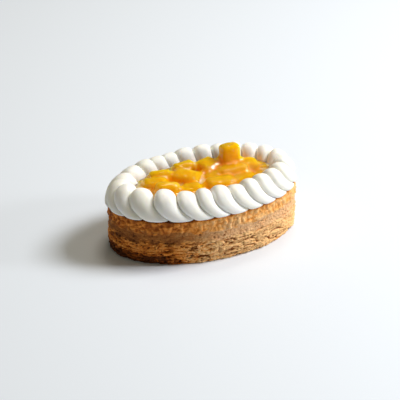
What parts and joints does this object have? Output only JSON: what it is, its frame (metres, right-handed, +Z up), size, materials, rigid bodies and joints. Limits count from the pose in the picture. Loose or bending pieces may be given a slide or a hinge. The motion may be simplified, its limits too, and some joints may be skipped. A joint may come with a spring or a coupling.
{
  "type": "mango tart",
  "caption": "Individual oval mango tart: flaky puff pastry base, a piped rope of whipped cream round the rim, and diced mango in clear amber glaze in the middle",
  "frame": {"origin": "the centre of the tart's oval underside", "axes": "+X along the oval's long axis, towards the end where the tall mango dice stands; +Z up; +Y towards the side away from the viewer in the picture"},
  "size_m": [0.1014, 0.0602, 0.0432],
  "materials": {
    "pastry": "matte, baked",
    "cream": "satin",
    "glaze": "wet gloss",
    "mango": "wet gloss"
  },
  "bodies": {
    "root": {"pastry_base": "pastry", "cream_rope": "cream", "mango_glaze": "glaze", "mango_chunk_01": "mango", "mango_chunk_02": "mango", "mango_chunk_03": "mango", "mango_chunk_04": "mango", "mango_chunk_05": "mango", "mango_chunk_06": "mango", "mango_chunk_07": "mango", "mango_chunk_08": "mango", "mango_chunk_09": "mango", "mango_chunk_10": "mango", "mango_chunk_11": "mango", "mango_chunk_12": "mango", "mango_chunk_13": "mango", "mango_chunk_14": "mango"}
  },
  "joints": []
}
